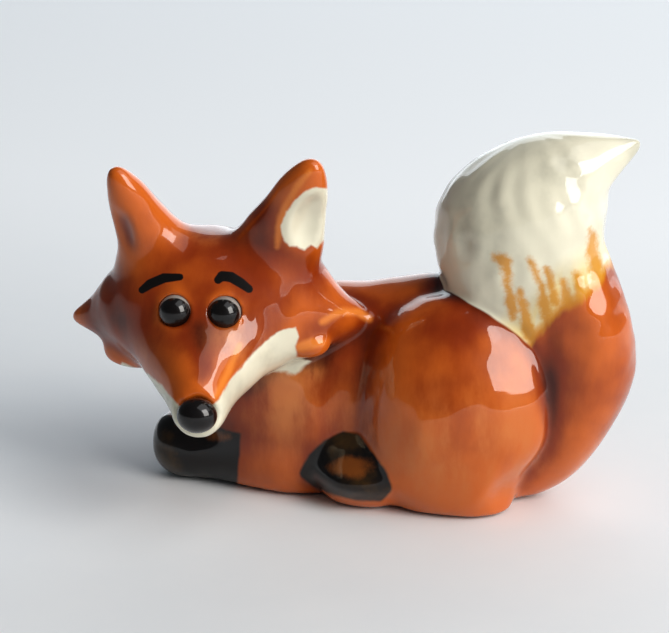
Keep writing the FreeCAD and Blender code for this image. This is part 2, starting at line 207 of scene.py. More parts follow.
# Ochre strokes where the cream of the tail meets the orange
OCHRE_STROKES = [
    [(496, 257, 3.6), (507, 263, 5.4), (508, 286, 3.8), (513, 316, 3.0)],
    [(530, 260, 2.4), (541, 284, 4.0), (546, 314, 5.0)],
    [(546, 268, 2.4), (555, 300, 4.6)],
    [(563, 282, 2.6), (568, 304, 4.4)],
    [(592, 232, 2.6), (592, 250, 4.6), (598, 274, 6.0)],
    [(520, 292, 2.4), (529, 336, 5.4)],
    [(577, 276, 2.4), (582, 298, 4.0)],
]
# Raised edges, where the glaze breaks pale, with painted highlights on the ear rim and cheek tufts and
# painted light on the snout's lit side
GLAZE_BREAK_AND_HIGHLIGHT_STROKES = [
    [(310, 171, 1.6), (297, 186, 2.4), (285, 206, 2.6), (279, 226, 2.6), (277, 247, 2.0)],
    [(322, 322, 2.0), (340, 312, 3.2), (358, 312, 3.6), (369, 319, 2.6)],
    [(300, 347, 4.0), (312, 343, 5.0), (322, 343, 3.0)],
    [(240, 345, 2.0), (228, 372, 3.0), (216, 396, 2.0)],
]
# Soft patches: centre, radii and strength.
# Glaze run pale in brush marks on the shoulders, with painted reflection on the lower haunch and along
# the head's top
PALE_GLAZE_AND_SHEEN_PATCHES = [
    ((290, 405), (50, 46), 1.0), ((458, 445), (84, 52), 1.0), ((238, 335), (26, 22), 1.0),
    ((220, 235), (40, 9), 0.9), ((304, 374), (24, 9), 0.8),
]
# Darker where the strength is negative and lighter where it is positive. This is partly glaze pooling
# and partly painted shade in the creases, at the tail's root and on the face's shaded side, with
# painted light on the lit sides of the snout and tail.
SHADE_LIGHT_AND_GLAZE_PATCHES = [
    ((202, 366), (12, 42), -0.36), ((366, 390), (13, 62), -0.28), ((424, 322), (52, 28), -0.3),
    ((198, 322), (44, 24), -0.3), ((104, 318), (34, 34), -0.34), ((450, 280), (20, 14), -0.3),
    ((551, 385), (9, 44), -0.16), ((262, 218), (18, 34), -0.28), ((604, 350), (28, 64), 0.3),
    ((560, 440), (30, 40), 0.16), ((225, 370), (10, 26), 0.2), ((590, 300), (24, 18), 0.2),
]


def camera_axes():
    """Unit vectors back to the camera, to the image's right and up."""
    az, el = CAMERA_AZIMUTH, CAMERA_ELEVATION
    back = np.array([math.sin(az) * math.cos(el), -math.cos(az) * math.cos(el), math.sin(el)])
    right = np.array([math.cos(az), math.sin(az), 0.0])
    return back, right, np.cross(back, right)


BACK, RIGHT, UP = camera_axes()
EYE_POINT = CAMERA_TARGET + BACK * CAMERA_DISTANCE
MIRROR = np.array([1.0, -1.0, 1.0])


def to_pixels(points):
    """Photograph pixels of points in millimetres."""
    d = points - EYE_POINT
    depth = -(d @ BACK)
    u = PHOTO_SIZE[0] / 2 + FOCAL_PIXELS * (d @ RIGHT) / depth
    v = PHOTO_SIZE[1] / 2 - FOCAL_PIXELS * (d @ UP) / depth
    return np.stack([u, v], 1)


PIXELS_PER_MM = FOCAL_PIXELS / CAMERA_DISTANCE


# Distances on a grid


def node_tree(name):
    """The search tree of a frame node's mesh, in millimetres."""
    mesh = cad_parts[name].data
    points = [vertex.co / MM for vertex in mesh.vertices]
    mesh.calc_loop_triangles()
    return BVHTree.FromPolygons(points, [tuple(t.vertices) for t in mesh.loop_triangles])


def inside_runs(tree, x, y, zs):
    """Which points of a vertical line are inside a closed mesh, by counting crossings."""
    crossings = []
    start = Vector((x + RAY_NUDGE, y + RAY_NUDGE, zs[0] - RAY_START))
    while True:
        hit = tree.ray_cast(start, Vector((0, 0, 1)))[0]
        if hit is None:
            break
        crossings.append(hit.z)
        start = hit + Vector((0, 0, RAY_NUDGE))
    return np.searchsorted(np.array(crossings), zs) % 2 == 1


def signed_distances(name, xs, ys, zs):
    """Distance to a node's surface at each grid point, negative inside."""
    tree = node_tree(name)
    step = zs[1] - zs[0]
    out = np.empty((len(xs), len(ys), len(zs)), np.float32)
    for i, x in enumerate(xs):
        for j, y in enumerate(ys):
            column = out[i, j]
            k = 0
            while k < len(zs):
                distance = tree.find_nearest(Vector((x, y, zs[k])))[3]
                # from a far point, the next few points are far as well
                skip = max(0, int((distance - BAND - SKIP_MARGIN) / step))
                run = slice(k, min(k + skip + 1, len(zs)))
                column[run] = distance - step * np.arange(run.stop - run.start)
                k = run.stop
            column[inside_runs(tree, x, y, zs)] *= -1
    return out


def doubled(field, axis):
    """Twice as many points along an axis, by cubic interpolation."""
    f = np.moveaxis(field, axis, 0)
    n = len(f)
    ends = np.concatenate([2 * f[:1] - f[1:2], f, 2 * f[-1:] - f[-2:-1]])
    middle = (9 * (ends[1:n] + ends[2 : n + 1]) - ends[0 : n - 1] - ends[3 : n + 2]) / 16
    out = np.empty((2 * n - 1,) + f.shape[1:], f.dtype)
    out[0::2] = f
    out[1::2] = middle
    return np.moveaxis(out, 0, axis)


def blurred(field, width):
    """Gaussian blur, its width in millimetres."""
    width = width / FINE_STEP
    reach = max(1, math.ceil(BLUR_REACH * width))
    weights = np.exp(-0.5 * (np.arange(-reach, reach + 1) / width) ** 2)
    weights = (weights / weights.sum()).astype(np.float32)
    for axis in range(3):
        f = np.moveaxis(field, axis, 0)
        n = len(f)
        ends = np.concatenate([np.repeat(f[:1], reach, 0), f, np.repeat(f[-1:], reach, 0)])
        total = np.zeros_like(f)
        for offset, weight in enumerate(weights):
            total += weight * ends[offset : offset + n]
        field = np.moveaxis(total, 0, axis)
    return np.ascontiguousarray(field)


def smooth_min(a, b, width):
    """The lesser of two distances, rounded where they are nearly alike."""
    if width <= 0:
        return np.minimum(a, b)
    h = np.clip(width - np.abs(a - b), 0, None) / width
    return np.minimum(a, b) - h * h * width / 4


def node_centre(name):
    """The middle of a node's box in millimetres."""
    low_corner, high_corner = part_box(name)
    return (np.array(low_corner) + np.array(high_corner)) / 2 / MM


def head_axes():
    """Unit vectors out of the face, square to the line of the eyes, and up the face."""
    across = node_centre("left_eye") - node_centre("right_eye")
    level = np.cross(across, [0, 0, 1.0])
    level /= np.linalg.norm(level)
    forward = level * math.cos(FACE_TILT) + np.array([0, 0, math.sin(FACE_TILT)])
    upward = np.array([0, 0, math.cos(FACE_TILT)]) - level * math.sin(FACE_TILT)
    return forward, upward


class Body:
    """The blended clay body as distances on a grid."""

    def __init__(self):
        self.boxes = {name: [np.array(c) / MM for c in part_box(name)] for name in NAMES}
        low = np.min([b[0] for b in self.boxes.values()], 0) - PAD
        high = np.max([b[1] for b in self.boxes.values()], 0) + PAD
        self.low = low
        self.coarse_shape = np.ceil((high - low) / COARSE_STEP).astype(int) + 1
        self.shape = tuple((self.coarse_shape - 1) * 2**DOUBLINGS + 1)
        self.plain = np.full(self.shape, BAND, np.float32)
        self.owner = np.zeros(self.shape, np.int8)
        trunk, near_trunk = self.join(TRUNK_FLOW, BAND)
        tail, near_tail = self.join({"tail": 0.0}, 2 * BAND)
        head, near_head = self.join(HEAD_FLOW, 2 * BAND)
        self.tail_side = (near_tail - near_trunk) / 2
        self.head_side = (near_head - near_trunk) / 2
        self.add_lids(head)
        field = smooth_min(smooth_min(trunk, tail, TAIL_FLOW), head, NECK_FLOW)
        heights = (low[2] + FINE_STEP * np.arange(self.shape[2])).astype(np.float32)
        field = -smooth_min(-field, np.broadcast_to(heights, self.shape), BASE_ROUND)
        self.field = blurred(field, SOFTEN)
        self.wide = blurred(self.field, RIDGE_BLUR)
        self.broad = blurred(self.wide, BROAD_BLUR)

    def join(self, flows, far):
        """Distances to a group of pieces, flowing together and plain, up to far."""
        joined = np.full(self.shape, BAND, np.float32)
        nearest = np.full(self.shape, far, np.float32)
        for name, flow in flows.items():
            margin = BAND + flow / 2
            first = np.floor((self.boxes[name][0] - margin - self.low) / COARSE_STEP).astype(int)
            last = np.ceil((self.boxes[name][1] + margin - self.low) / COARSE_STEP).astype(int) + 1
            first = np.clip(first, 0, None)
            last = np.minimum(last, self.coarse_shape)
            axes = [self.low[a] + COARSE_STEP * np.arange(first[a], last[a]) for a in range(3)]
            part = signed_distances(name, *axes)
            for _ in range(DOUBLINGS):
                for axis in range(3):
                    part = doubled(part, axis)
            start = first * 2**DOUBLINGS
            where = tuple(slice(start[a], start[a] + part.shape[a]) for a in range(3))
            nearer = part < self.plain[where]
            self.owner[where][nearer] = NAMES.index(name)
            self.plain[where] = np.minimum(self.plain[where], part)
            nearest[where] = np.minimum(nearest[where], part)
            joined[where] = smooth_min(joined[where], part, flow)
        return joined, nearest

    def add_lids(self, head):
        """Lay a low ring round each eye."""
        forward = head_axes()[0]
        for side in ("left", "right"):
            centre = node_centre(f"{side}_eye")
            first = np.floor((centre - LID_REACH - self.low) / FINE_STEP).astype(int)
            last = np.ceil((centre + LID_REACH - self.low) / FINE_STEP).astype(int)
            where = tuple(slice(first[a], last[a]) for a in range(3))
            axes = [self.low[a] + FINE_STEP * np.arange(first[a], last[a]) for a in range(3)]
            offset = np.stack(np.meshgrid(*axes, indexing="ij"), -1) - centre
            along = offset @ forward
            radial = np.linalg.norm(offset - along[..., None] * forward, axis=-1)
            ring = np.hypot(radial - LID_RADIUS, along - LID_FORWARD) - LID_THICKNESS
            head[where] = smooth_min(head[where], ring.astype(np.float32), LID_FLOW)

    def sample(self, field, points):
        """Linear interpolation of a grid field at points."""
        g = np.clip((points - self.low) / FINE_STEP, 0, np.array(self.shape) - 1.001)
        i = g.astype(int)
        f = g - i
        total = 0
        for corner in np.ndindex(2, 2, 2):
            weight = np.prod(np.where(corner, f, 1 - f), 1)
            total = total + weight * field[tuple((i + corner).T)]
        return total

    def slope(self, field, points):
        """Gradient of a grid field at points, over one step each way."""
        out = np.empty_like(points)
        for axis, shift in enumerate(np.eye(3) * FINE_STEP):
            ahead = self.sample(field, points + shift)
            behind = self.sample(field, points - shift)
            out[:, axis] = (ahead - behind) / (2 * FINE_STEP)
        return out

    def surface(self):
        """Vertices and quads of the surface, one vertex in each cell that it crosses."""
        inside = self.field < 0
        cells = tuple(n - 1 for n in self.shape)
        count = 0
        for corner in np.ndindex(2, 2, 2):
            window = tuple(slice(c, c + n) for c, n in zip(corner, cells))
            count = count + inside[window].astype(np.int8)
        cell = np.stack(np.nonzero((count > 0) & (count < 8)), 1)
        number = np.full(cells, -1, np.int64)
        number[tuple(cell.T)] = np.arange(len(cell))
        points = self.low + FINE_STEP * (cell + 0.5)
        quads = []
        for axis in range(3):
            low_side = [slice(None)] * 3
            high_side = [slice(None)] * 3
            low_side[axis] = slice(0, -1)
            high_side[axis] = slice(1, None)
            first, second = inside[tuple(low_side)], inside[tuple(high_side)]
            one, other = (axis + 1) % 3, (axis + 2) % 3
            # the four cells round a grid edge, in turn
            ring = [(0, 0), (-1, 0), (-1, -1), (0, -1)]
            for crossing, turn in ((first & ~second, ring), (~first & second, ring[::-1])):
                edge = np.stack(np.nonzero(crossing), 1)
                loop = []
                for s, t in turn:
                    c = edge.copy()
                    c[:, one] += s
                    c[:, other] += t
                    loop.append(number[tuple(c.T)])
                quads.append(np.stack(loop, 1))
        return self.settled(points), np.concatenate(quads)

    def settled(self, points):
        """Move points along the slope onto the surface."""
        for _ in range(SETTLE_PASSES):
            slope = self.slope(self.field, points)
            length = np.maximum(np.linalg.norm(slope, axis=1), LEAST_SLOPE)
            step = np.clip(self.sample(self.field, points) / length, -FINE_STEP / 2, FINE_STEP / 2)
            points = points - (step / length)[:, None] * slope
        return points


def unit(vectors):
    """Vectors scaled to a length of one."""
    return vectors / np.maximum(np.linalg.norm(vectors, axis=1), 1e-9)[:, None]


def hand_marks(points, on_tail):
    """Height of the small unevenness of hand-shaped clay, with brushed grooves on the tail."""
    x, y, z = points.T
    swell = np.sin(0.55 * x + 0.9 * np.sin(0.31 * z)) * np.sin(0.62 * y + 0.47 * z + 1.3)
    ripple = np.sin(1.3 * x - 0.7 * z) * np.sin(1.1 * y + 0.9 * z)
    turn = np.arctan2(y, x - TAIL_AXIS_X)
    groove = np.sin(17 * turn + 1.4 * np.sin(0.6 * z)) * (0.5 + 0.5 * np.sin(0.9 * z + 2 * turn))
    lump = np.sin(1.5 * z + 4 * turn) * np.sin(9 * turn - 0.7 * z)
    from_axis = np.clip(np.hypot(y, x - TAIL_AXIS_X) / TAIL_GROOVES_FULL, 0, 1)
    on_tail = on_tail * from_axis**2
    by_hand = SWELL_HEIGHT * swell + RIPPLE_HEIGHT * ripple
    return by_hand + on_tail * (GROOVE_HEIGHT * groove + LUMP_HEIGHT * lump)


def pulled(points, place, pull, reach):
    """Pull what is near a place along, less with distance."""
    near = np.exp(-np.sum((points - place) ** 2, 1) / reach**2)
    return points + near[:, None] * pull


def reshaped(points):
    """Swell and slim the flanks, and pull single places to where the photograph has them."""
    x, y, z = points.T
    out = 0
    for (place_x, place_z), (reach_x, reach_z), push in SWELLS:
        out = out + push * np.exp(-(((x - place_x) / reach_x) ** 2) - ((z - place_z) / reach_z) ** 2)
    fade = np.clip((np.abs(y) - SWELL_START) / (SWELL_FULL - SWELL_START), 0, 1)
    moved = points.copy()
    moved[:, 1] += out * fade * fade * (3 - 2 * fade) * np.sign(y)
    moved = pulled(moved, TAIL_TIP, TAIL_TIP_PULL, TAIL_TIP_REACH)
    for mirror in (1, MIRROR):
        moved = pulled(moved, HAUNCH_FOOT * mirror, HAUNCH_FOOT_PULL, HAUNCH_FOOT_REACH)
    tuft_pull = TUFT_PULL[0] * RIGHT + TUFT_PULL[1] * UP
    return pulled(moved, node_centre("right_tuft"), tuft_pull, TUFT_REACH)


def moved_normals(move, points, normals):
    """Unit normals after a movement of points, from its slopes over a small step."""
    shifts = np.eye(3) * MOVE_STEP
    slopes = [(move(points + shift) - move(points - shift)) / (2 * MOVE_STEP) for shift in shifts]
    jacobian = np.stack(slopes, 1)
    return unit(np.linalg.solve(jacobian, normals[:, :, None])[:, :, 0])


# Paint edges as distances


def edge_distance(pixels, corners):
    """Distance in millimetres to a closed edge drawn in pixels, negative inside."""
    ends = np.array(corners, float)
    nearest = np.full(len(pixels), np.inf)
    inside = np.zeros(len(pixels), bool)
    for a, b in zip(ends, np.roll(ends, -1, 0)):
        along = b - a
        share = np.clip(((pixels - a) @ along) / (along @ along), 0, 1)
        nearest = np.minimum(nearest, np.linalg.norm(pixels - a - share[:, None] * along, axis=1))
        if a[1] != b[1]:
            between = (pixels[:, 1] < a[1]) != (pixels[:, 1] < b[1])
            crossing = a[0] + (pixels[:, 1] - a[1]) / (b[1] - a[1]) * (b[0] - a[0])
            inside ^= between & (pixels[:, 0] < crossing)
    return np.where(inside, -nearest, nearest) / PIXELS_PER_MM


def stroke_distance(pixels, stroke):
    """Distance in millimetres to a brush stroke of changing width, negative inside."""
    nearest = np.full(len(pixels), np.inf)
    for (ax, ay, aw), (bx, by, bw) in zip(stroke, stroke[1:]):
        a, b = np.array([ax, ay], float), np.array([bx, by], float)
        along = b - a
        share = np.clip(((pixels - a) @ along) / (along @ along), 0, 1)
        away = np.linalg.norm(pixels - a - share[:, None] * along, axis=1)
        nearest = np.minimum(nearest, away - aw - share * (bw - aw))
    return nearest / PIXELS_PER_MM


def line_at(value, line, given, wanted):
    """Follow a line drawn in pixels: its place along one axis for a value on the other."""
    ends = np.array(sorted(line, key=lambda p: p[given]), float)
    return np.interp(value, ends[:, given], ends[:, wanted])


def spot(pixels, patch):
    """How far into a soft round patch each point is, from 0 to 1."""
    (u, v), (across, down), strength = patch
    return strength * np.exp(-(((pixels[:, 0] - u) / across) ** 2) - ((pixels[:, 1] - v) / down) ** 2)


def strokes_distance(pixels, strokes):
    """Distance in millimetres to the nearest of some strokes."""
    return np.min([stroke_distance(pixels, stroke) for stroke in strokes], 0)


def paint(points, normals, head_side, tail_side):
    """Values on the surface that the glaze reads, each a distance in millimetres or a share."""
    pixels = to_pixels(points)
    mirrored = (points[:, 1] > 0)[:, None]
    both = to_pixels(np.where(mirrored, points * MIRROR, points))
    hidden = (SHOWN_FROM - normals @ BACK) * TURN_LENGTH
    hidden_both = (SHOWN_FROM - np.where(mirrored, normals * MIRROR, normals) @ BACK) * TURN_LENGTH

    ear = np.maximum(edge_distance(pixels, EAR_PATCH_EDGE), hidden)
    cream = np.maximum(np.minimum(edge_distance(pixels, JAW_EDGE), ear), head_side)
    tail = (pixels[:, 1] - line_at(pixels[:, 0], TAIL_EDGE, 0, 1)) / PIXELS_PER_MM
    paw = (pixels[:, 0] - line_at(pixels[:, 1], PAW_EDGE, 1, 0)) / PIXELS_PER_MM
    paw = np.max([paw, -head_side, points[:, 2] - PAW_TOP], 0)
    foot = np.maximum(edge_distance(both, HIND_FOOT_EDGE) - HIND_FOOT_ROUND, hidden_both)
    return {
        "cream": cream,
        "tail_gap": tail,
        "tail_side": tail_side,
        "dark": np.minimum(paw, foot),
        "glow": sum(spot(both, patch) for patch in GLOWS) * (hidden_both < 0),
        "brow": np.maximum(strokes_distance(pixels, BROWS), hidden),
        "ochre": strokes_distance(pixels, OCHRE_STROKES),
        "glaze_break_and_highlight": np.maximum(strokes_distance(pixels, GLAZE_BREAK_AND_HIGHLIGHT_STROKES), hidden),
        "thin_glaze_and_sheen": np.clip(sum(spot(both, patch) for patch in PALE_GLAZE_AND_SHEEN_PATCHES), 0, 1),
        "glaze_shade_and_light_tone": sum(spot(both, patch) for patch in SHADE_LIGHT_AND_GLAZE_PATCHES),
    }


def settled_owners(owners, quads):
    """Owner of each quad, with small islands given to what surrounds them."""
    for _ in range(OWNER_PASSES):
        votes = np.zeros((len(quads), len(NAMES)), np.int16)
        for corner in range(4):
            np.add.at(votes, (np.arange(len(quads)), owners[quads[:, corner]]), 1)
        quad_owner = votes.argmax(1)
        votes = np.zeros((len(owners), len(NAMES)), np.int16)
        for corner in range(4):
            np.add.at(votes, (quads[:, corner], quad_owner), 1)
        owners = votes.argmax(1)
    return quad_owner


def wall_depth(body, points, normals):
    """How far the inner skin lies under the outer one, so that it never shows."""
    depth = np.full(len(points), SHELL)
    for reach in WALL_REACHES:
        through = body.sample(body.field, points - reach * normals) > 0
        depth = np.where(through, np.minimum(SHELL, SHELL_SHARE * reach), depth)
    return depth


def make_piece(name, quads, points, inner, normals, values, material):
    """A closed shell of some of the body's quads: outer skin, inner skin and rim."""
    used, flat = np.unique(quads, return_inverse=True)
    outer = flat.reshape(-1, 4)
    n = len(used)
    edges = np.concatenate([outer[:, [i, (i + 1) % 4]] for i in range(4)])
    key = edges[:, 0] * n + edges[:, 1]
    back_key = edges[:, 1] * n + edges[:, 0]
    rim = edges[~np.isin(key, back_key)]
    rim_quads = np.stack([rim[:, 1], rim[:, 0], rim[:, 0] + n, rim[:, 1] + n], 1)
    faces = np.concatenate([outer, outer[:, ::-1] + n, rim_quads])
    co = np.concatenate([points[used], inner[used]]) * MM
    mesh = bpy.data.meshes.new(name + "_clay")
    mesh.from_pydata(co.tolist(), [], faces.tolist())
    mesh.polygons.foreach_set("use_smooth", [True] * len(faces))
    both_skins = np.concatenate([normals[used], -normals[used]])
    mesh.normals_split_custom_set_from_vertices(both_skins.tolist())
    for label, value in values.items():
        layer = mesh.attributes.new(label, "FLOAT", "POINT")
        layer.data.foreach_set("value", np.tile(value[used], 2).astype(np.float32))
    mesh.materials.append(material)
    piece = bpy.data.objects.new(name + "_clay", mesh)
    bpy.context.scene.collection.objects.link(piece)
    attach(piece, "root")
    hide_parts(name)


# Materials

BUMP_HEIGHT = 0.02
RELIEF_GAIN = 8.0
UNDER_GLAZE_SHINE = 0.12
GLAZE_ROUGHNESS = 0.035
GLAZE_IOR = 1.48


class Nodes:
    """Short names for building a material's nodes."""

    def __init__(self, name):
        self.material = bpy.data.materials.new(name)
        self.material.use_nodes = True
        self.tree = self.material.node_tree
        self.shader = self.tree.nodes["Principled BSDF"]

    def plug(self, socket, value):
        if isinstance(value, bpy.types.NodeSocket):
            self.tree.links.new(value, socket)
        elif value is not None:
            socket.default_value = value

    def attribute(self, name):
        node = self.tree.nodes.new("ShaderNodeAttribute")
        node.attribute_name = name
        return node.outputs["Fac"]

    def facing(self, direction):
        """How squarely the surface faces a fixed direction."""
        node = self.tree.nodes.new("ShaderNodeVectorMath")
        node.operation = "DOT_PRODUCT"
        self.plug(node.inputs[0], self.tree.nodes.new("ShaderNodeNewGeometry").outputs["Normal"])
        node.inputs[1].default_value = direction
        return node.outputs["Value"]

    def place(self):
        return self.tree.nodes.new("ShaderNodeTexCoord").outputs["Object"]

    def stretched(self, scale):
        node = self.tree.nodes.new("ShaderNodeMapping")
        self.plug(node.inputs["Vector"], self.place())
        node.inputs["Scale"].default_value = scale
        return node.outputs["Vector"]

    def noise(self, scale, detail=3.0, rough=0.55, vector=None):
        """Noise about zero; the scale is in waves per metre."""
        node = self.tree.nodes.new("ShaderNodeTexNoise")
        self.plug(node.inputs["Vector"], vector if vector is not None else self.place())
        node.inputs["Scale"].default_value = scale
        node.inputs["Detail"].default_value = detail
        node.inputs["Roughness"].default_value = rough
        return self.math("SUBTRACT", node.outputs["Fac"], 0.5)

    def math(self, kind, a, b=None, c=None):
        node = self.tree.nodes.new("ShaderNodeMath")
        node.operation = kind
        for socket, value in zip(node.inputs, (a, b, c)):
            self.plug(socket, value)
        return node.outputs[0]

    def ramp(self, value, start, end, low=0.0, high=1.0):
        """A smooth step of a value from low at start to high at end."""
        node = self.tree.nodes.new("ShaderNodeMapRange")
        node.interpolation_type = "SMOOTHSTEP"
        numbers = {"From Min": start, "From Max": end, "To Min": low, "To Max": high}
        for name, number in numbers.items():
            node.inputs[name].default_value = number
        self.plug(node.inputs["Value"], value)
        return node.outputs["Result"]

    def mix(self, share, a, b):
        """A share of colour b in colour a; the node's colour sockets have only numbers."""
        node = self.tree.nodes.new("ShaderNodeMix")
        node.data_type = "RGBA"
        self.plug(node.inputs["Factor"], share)
        for socket, value in ((node.inputs[6], a), (node.inputs[7], b)):
            self.plug(socket, (*value, 1.0) if isinstance(value, tuple) else value)
        return node.outputs[2]

    def glaze(self, color, relief=0.0):
        """Glossy clear glaze over the colour, with a faint unevenness and some brushed relief."""
        bump = self.tree.nodes.new("ShaderNodeBump")
        bump.inputs["Strength"].default_value = 0.4
        bump.inputs["Distance"].default_value = BUMP_HEIGHT * MM
        strokes = self.noise(380.0, 3.0, 0.5, self.stretched((1.0, 1.0, 0.35)))
        brushed = self.math("MULTIPLY", strokes, relief)
        height = self.math("MULTIPLY_ADD", brushed, RELIEF_GAIN, self.noise(420.0, 4.0))
        self.plug(bump.inputs["Height"], height)
        self.plug(self.shader.inputs["Base Color"], color)
        rough = self.ramp(self.noise(900.0), -0.3, 0.3, 0.28, 0.42)
        self.plug(self.shader.inputs["Roughness"], rough)
        self.plug(self.shader.inputs["Normal"], bump.outputs["Normal"])
        self.shader.inputs["Specular IOR Level"].default_value = UNDER_GLAZE_SHINE
        self.shader.inputs["Coat Weight"].default_value = 1.0
        self.shader.inputs["Coat Roughness"].default_value = GLAZE_ROUGHNESS
        self.shader.inputs["Coat IOR"].default_value = GLAZE_IOR
        return self.material


RED_BROWN = (0.070, 0.008, 0.002)
ORANGE = (0.25, 0.035, 0.004)
BRIGHT_ORANGE = (0.56, 0.125, 0.014)
GOLD_ORANGE = (0.78, 0.26, 0.045)
PALE_ORANGE = (0.60, 0.22, 0.065)
CREAM = (0.75, 0.71, 0.56)
GREY_CREAM = (0.50, 0.48, 0.38)
YELLOW_CREAM = (0.74, 0.58, 0.26)
OCHRE = (0.60, 0.26, 0.016)
BLACK = (0.007, 0.005, 0.0045)
SOFT_BLACK = (0.010, 0.010, 0.012)
OLIVE_BROWN = (0.055, 0.028, 0.007)
CHESTNUT = (0.20, 0.062, 0.010)
LID_GREY = (0.30, 0.29, 0.27)


def orange_glaze(n):
    """Orange-brown glaze: deeper in the hollows, brighter on the ridges, brushed in patches, with
    painted shade, painted light, painted reflection and painted highlights where given.
    """
    cloud = n.noise(95.0, 3.0)
    brushed = n.noise(170.0, 5.0, 0.62, n.stretched((1.5, 1.2, 0.5)))
    glaze_shade_and_light_tone = n.math("MULTIPLY_ADD", n.attribute("ridge"), 0.4, n.math("MULTIPLY", cloud, 0.9))
    glaze_shade_and_light_tone = n.math("MULTIPLY_ADD", n.attribute("broad"), 0.35, glaze_shade_and_light_tone)
    glaze_shade_and_light_tone = n.math("MULTIPLY_ADD", brushed, 0.45, glaze_shade_and_light_tone)
    # painted shade and painted light from the given patches, added to the glaze's own pooling
    glaze_shade_and_light_tone = n.math("ADD", n.attribute("glaze_shade_and_light_tone"), glaze_shade_and_light_tone)
    color = n.mix(n.ramp(glaze_shade_and_light_tone, -0.34, 0.06), RED_BROWN, ORANGE)
    color = n.mix(n.ramp(glaze_shade_and_light_tone, 0.0, 0.46), color, BRIGHT_ORANGE)
    # pale glaze in brush marks, partly painted reflection on the lower haunch and the head's top
    pale = n.math("MULTIPLY", n.attribute("thin_glaze_and_sheen"), n.ramp(brushed, -0.14, 0.2, 0.1, 1.0))
    color = n.mix(n.math("MULTIPLY", pale, 0.72), color, PALE_ORANGE)
    # painted highlights along the given raised edges, partly glaze breaking pale there
    glaze_break_and_highlight = n.math("MULTIPLY_ADD", n.noise(500.0), 0.5, n.attribute("glaze_break_and_highlight"))
    return n.mix(n.ramp(glaze_break_and_highlight, 0.35, -0.25, 0.0, 0.7), color, GOLD_ORANGE)


def cream_glaze(n):
    """Cream glaze with a faint grey wash."""
    return n.mix(n.ramp(n.noise(150.0, 4.0), -0.05, 0.3), CREAM, GREY_CREAM)


def painted_material(name):
    """All of the fox's colours, each inside its painted edge."""
    n = Nodes(name)
    orange = orange_glaze(n)
    cream = cream_glaze(n)
    ragged = n.noise(700.0, 3.0)
    edge = n.math("ADD", n.attribute("cream"), n.math("MULTIPLY", ragged, 0.5))
    color = n.mix(n.ramp(edge, 0.16, -0.16), orange, cream)
    edge = n.math("ADD", n.attribute("dark"), n.math("MULTIPLY", ragged, 0.25))
    dark = n.mix(n.ramp(n.noise(210.0, 4.0), -0.04, 0.22), BLACK, OLIVE_BROWN)
    glow = n.math("ADD", n.attribute("glow"), n.math("MULTIPLY", n.noise(520.0, 4.0, 0.7), 0.75))
    dark = n.mix(n.ramp(glow, 0.38, 0.86), dark, CHESTNUT)
    color = n.mix(n.ramp(edge, 0.2, -0.2), color, dark)
    color = n.mix(n.ramp(n.attribute("brow"), 0.06, -0.06), color, BLACK)
    on_tail = n.ramp(n.attribute("tail_side"), 0.08, -0.08)
    color = n.mix(on_tail, color, tail_colors(n, orange, cream))
    relief = n.math("MULTIPLY", on_tail, n.ramp(n.attribute("tail_gap"), 3.0, -3.0, 0.15, 1.0))
    return n.glaze(color, relief)


def tail_colors(n, orange, cream):
    """The cream brush of the tail, with ochre strokes where it meets the orange."""
    strokes = n.noise(430.0, 3.0, 0.6, n.stretched((1.0, 1.0, 0.2)))
    gap = n.math("MULTIPLY_ADD", strokes, -3.2, n.attribute("tail_gap"))
    warm = n.math("MULTIPLY", n.ramp(gap, -6.0, -1.8), n.ramp(strokes, -0.12, 0.12, 0.35, 1.0))
    color = n.mix(warm, cream, YELLOW_CREAM)
    ochre = n.math("MULTIPLY_ADD", n.noise(520.0, 4.0, 0.7), 1.7, n.attribute("ochre"))
    color = n.mix(n.ramp(ochre, 0.5, -0.3, 0.0, 0.9), color, OCHRE)
    fringe = n.math("MULTIPLY", n.ramp(gap, -0.9, -0.2), n.ramp(gap, 1.2, 0.2))
    color = n.mix(n.ramp(gap, -0.3, 0.35), color, orange)
    return n.mix(n.math("MULTIPLY", fringe, 0.75), color, OCHRE)


def black_glaze(n):
    return n.mix(n.ramp(n.noise(300.0), -0.1, 0.3), BLACK, SOFT_BLACK)


def black_material():
    n = Nodes("black_glaze")
    return n.glaze(black_glaze(n))


def eye_material():
    """Black glaze with a thin grey edge showing round the top of each eye."""
    n = Nodes("eye_glaze")
    forward, upward = head_axes()
    out = n.facing(tuple(forward))
    above = n.facing(tuple(upward))
    edge = n.math("MULTIPLY_ADD", n.noise(500.0), 0.2, n.math("MULTIPLY_ADD", above, -0.3, out))
    return n.glaze(n.mix(n.ramp(edge, 0.38, 0.28), black_glaze(n), LID_GREY))


# The finish of each piece that isn't plain orange
SLOTS = {
    "tail": "tail_glaze",
    "left_hind_foot": "brown_glaze",
    "right_hind_foot": "brown_glaze",
}


def with_hand_marks(points, normals, on_tail):
    """Points raised by the marks, with normals tilted by the marks' slope along the surface."""
    height = hand_marks(points, on_tail) * (points[:, 2] > MARKS_FROM)
    slope = np.empty_like(points)
    for axis, shift in enumerate(np.eye(3) * MARK_STEP):
        rise = hand_marks(points + shift, on_tail) - hand_marks(points - shift, on_tail)
        slope[:, axis] = rise / (2 * MARK_STEP)
    slope -= np.sum(slope * normals, 1)[:, None] * normals
    return points + height[:, None] * normals, unit(normals - slope)


